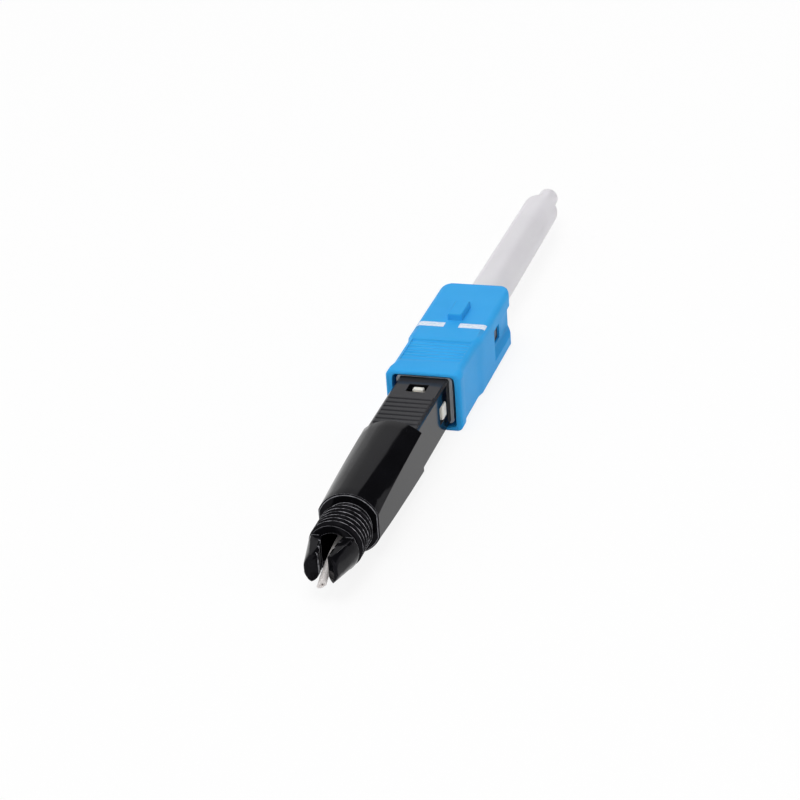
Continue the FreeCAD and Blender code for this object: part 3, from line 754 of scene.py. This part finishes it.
def buildTube():
    bend = math.radians(guideTube["bendAngle"])
    radius = guideTube["bendRadius"] * mm
    bendStart = tailTip + guideTube["bendInside"] * mm
    front = Vector((0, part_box("guide_tube")[1].y, axisHeight))
    path = [(front, 0.0)]
    for k in range(guideTube["bendSteps"] + 1):
        turn = bend * k / guideTube["bendSteps"]
        path.append((Vector((0, bendStart - radius * math.sin(turn),
                             axisHeight + radius * (math.cos(turn) - 1))), turn))
    away = Vector((0, -math.cos(bend), -math.sin(bend)))
    tip = path[-1][0] + away * guideTube["endLength"] * mm
    path.append((tip, bend))
    slant = Matrix.Rotation(bend, 3, "X") @ Matrix.Rotation(math.radians(guideTube["cutAngle"]), 3, "Z")
    cutNormal = slant @ Vector((0, -1, 0))
    outer, hole = guideTube["radius"] * mm, guideTube["hole"] * mm
    lip = guideTube["lip"] * mm
    bm = bmesh.new()

    def ring(centre, turn, size, cut=False, back=0.0):
        # a cut ring lies in the slanting end, or that far back from it
        verts = []
        for k in range(guideTube["sides"]):
            angle = 2 * math.pi * k / guideTube["sides"]
            across = Vector((math.cos(angle), 0, math.sin(angle))) * size
            across.rotate(Matrix.Rotation(turn, 3, "X"))
            spot = centre + across
            if cut:
                spot += away * ((tip - spot).dot(cutNormal) / away.dot(cutNormal) - back)
            verts.append(bm.verts.new(spot))
        return verts

    # from the front along the outside, round the lip of the end, and back along the hole
    rings = [ring(front + Vector((0, -lip, 0)), 0.0, outer)]
    rings += [ring(centre, turn, outer) for centre, turn in path[1:-1]]
    rings += [ring(tip, bend, outer, True, lip), ring(tip, bend, outer - lip, True)]
    rings += [ring(tip, bend, hole + lip, True), ring(tip, bend, hole, True, lip)]
    rings += [ring(centre, turn, hole) for centre, turn in reversed(path[:-1])]
    rings += [ring(front, 0.0, outer - lip)]
    for first, second in zip(rings, rings[1:] + rings[:1]):
        bridgeRings(bm, first, second)
    bmesh.ops.recalc_face_normals(bm, faces=bm.faces)
    mesh = meshFrom(bm, "fibre_guide")
    smoothByAngle(mesh, turnedSmooth)
    seat(newPiece("fibre_guide", mesh, tubeNylon), "guide_tube")


# CAD pieces that keep their own mesh get their finish

keptFinishes = {"index_marks": whiteInk, "splice_base": spliceAluminium, "splice_cover": spliceAluminium,
                "splice_clip": springSteel, "fibre_stub": fibreGlass}


def finishKept():
    for node, material in keptFinishes.items():
        for slot in frame["nodes"][node].material_slots:
            slot.material = material
    print("finishes on", ", ".join(keptFinishes))


# Studio: a white sweep with a low rim, soft panels, a bright wall to the left and a dark one to the right.
# Studio sizes are in metres; wallGlow gives the glow from the far left (-1) to the far right (1).
studio = {"sweepProfile": ((3.0, 0.0), (3.3, 0.04), (3.5, 0.2), (3.55, 0.85)), "sweepSides": 96,
          "paperColor": "#FBFBFB", "whiteShare": 0.88,
          "wallGlow": ((-1.0, 0.75), (-0.35, 0.8), (-0.06, 1.15), (0.05, 1.15), (0.09, 0.04), (1.0, 0.03))}
panels = {
    "overhead panel": {"spot": (-0.05, -0.1, 1.0), "size": (0.6, 0.6), "power": 3.9},
    "right panel": {"spot": (0.95, -0.35, 0.45), "size": (0.7, 0.8), "power": 3.2},
    "rear fill": {"spot": (0.35, -1.1, 0.5), "size": (0.8, 0.6), "power": 0.8},
}


def buildSweep():
    bm = bmesh.new()
    sides = studio["sweepSides"]
    turns = [2 * math.pi * k / sides for k in range(sides)]
    rings = []
    for radius, height in studio["sweepProfile"]:
        rings.append([bm.verts.new((radius * math.cos(t), radius * math.sin(t), height)) for t in turns])
    bm.faces.new(rings[0])
    for low, high in zip(rings, rings[1:]):
        bridgeRings(bm, low, high)
    mesh = meshFrom(bm, "white_sweep")
    # Matt paper that shows near white to the eye and in reflections, and still takes the shadow
    material, tree = newMaterial("white paper sweep")
    path = addNode(tree, "ShaderNodeLightPath").outputs
    seenOrMirrored = addNode(tree, "ShaderNodeMath", None,
                             {0: path["Is Camera Ray"], 1: path["Is Glossy Ray"]}, operation="MAXIMUM")
    seen = addNode(tree, "ShaderNodeMath", None,
                   {0: seenOrMirrored.outputs[0], 1: path["Is Transmission Ray"]}, operation="MAXIMUM")
    share = addNode(tree, "ShaderNodeMath", {1: studio["whiteShare"]}, {0: seen.outputs[0]},
                    operation="MULTIPLY")
    paper = addNode(tree, "ShaderNodeBsdfDiffuse", {"Color": hexColor(studio["paperColor"])})
    white = addNode(tree, "ShaderNodeEmission", {"Color": (1, 1, 1, 1), "Strength": 1.0})
    mixed = addNode(tree, "ShaderNodeMixShader", None,
                    {0: share.outputs[0], 1: paper.outputs[0], 2: white.outputs[0]})
    closeMaterial(tree, mixed)
    newPiece("white_sweep", mesh, material)


def buildRoom():
    world = bpy.data.worlds.new("studio room")
    scene.world = world
    world.use_nodes = True
    tree = world.node_tree
    tree.nodes.clear()
    way = addNode(tree, "ShaderNodeTexCoord").outputs["Generated"]
    toRight = addNode(tree, "ShaderNodeSeparateXYZ", None, {0: way}).outputs["X"]
    across = addNode(tree, "ShaderNodeMapRange", {"From Min": -1.0}, {"Value": toRight})
    ramp = addNode(tree, "ShaderNodeValToRGB", None, {0: across.outputs["Result"]})
    stops = ramp.color_ramp.elements
    while len(stops) < len(studio["wallGlow"]):
        stops.new(0.5)
    for stop, (direction, glow) in zip(stops, studio["wallGlow"]):
        stop.position = (direction + 1) / 2
        stop.color = (glow, glow, glow, 1)
    light = addNode(tree, "ShaderNodeBackground", {"Strength": 1.0}, {"Color": ramp.outputs["Color"]})
    addNode(tree, "ShaderNodeOutputWorld", links={"Surface": light.outputs[0]})


def buildPanels():
    aim = Vector((0, 0, axisHeight))
    for name, look in panels.items():
        lamp = bpy.data.lights.new(name, "AREA")
        lamp.shape = "RECTANGLE"
        lamp.size, lamp.size_y = look["size"]
        lamp.energy = look["power"]
        panel = bpy.data.objects.new(name, lamp)
        panel.location = look["spot"]
        panel.rotation_euler = (aim - panel.location).to_track_quat("-Z", "Y").to_euler()
        scene.collection.objects.link(panel)
    print("studio ready, panels:", len(panels))


# Camera: behind the tail, a little to the right, looking down along the connector.
# Angles are in degrees, lengths in mm from the middle of the housing's rear face, clip in metres.
photoView = {"azimuth": 17.98, "elevation": 26.34, "roll": -4.0, "distance": 300.75,
             "aimRight": -2.79, "aimUp": 0.11, "lens": 117.0, "sensor": 36.0, "clip": (0.01, 20)}


def buildCamera():
    around, above = math.radians(photoView["azimuth"]), math.radians(photoView["elevation"])
    roll = math.radians(photoView["roll"])
    back = Vector((math.sin(around) * math.cos(above), -math.cos(around) * math.cos(above),
                   math.sin(above)))
    level = Vector((math.cos(around), math.sin(around), 0))
    right = level * math.cos(roll) + back.cross(level) * math.sin(roll)
    up = back.cross(right)
    rearFace = Vector((0, housingLow.y, axisHeight))
    spot = rearFace + (right * photoView["aimRight"] + up * photoView["aimUp"]
                       + back * photoView["distance"]) * mm
    lens = bpy.data.cameras.new("photo view")
    lens.lens = photoView["lens"]
    lens.sensor_width = photoView["sensor"]
    lens.clip_start, lens.clip_end = photoView["clip"]
    camera = bpy.data.objects.new("photo view", lens)
    camera.matrix_world = Matrix((right, up, back)).transposed().to_4x4()
    camera.location = spot
    scene.collection.objects.link(camera)
    scene.camera = camera


buildHousing()
buildInside()
buildFerrule()
buildDustCap()
buildBody()
buildThread()
buildSpring()
buildTube()
finishKept()
buildSweep()
buildRoom()
buildPanels()
buildCamera()
scene.view_settings.view_transform = "Standard"
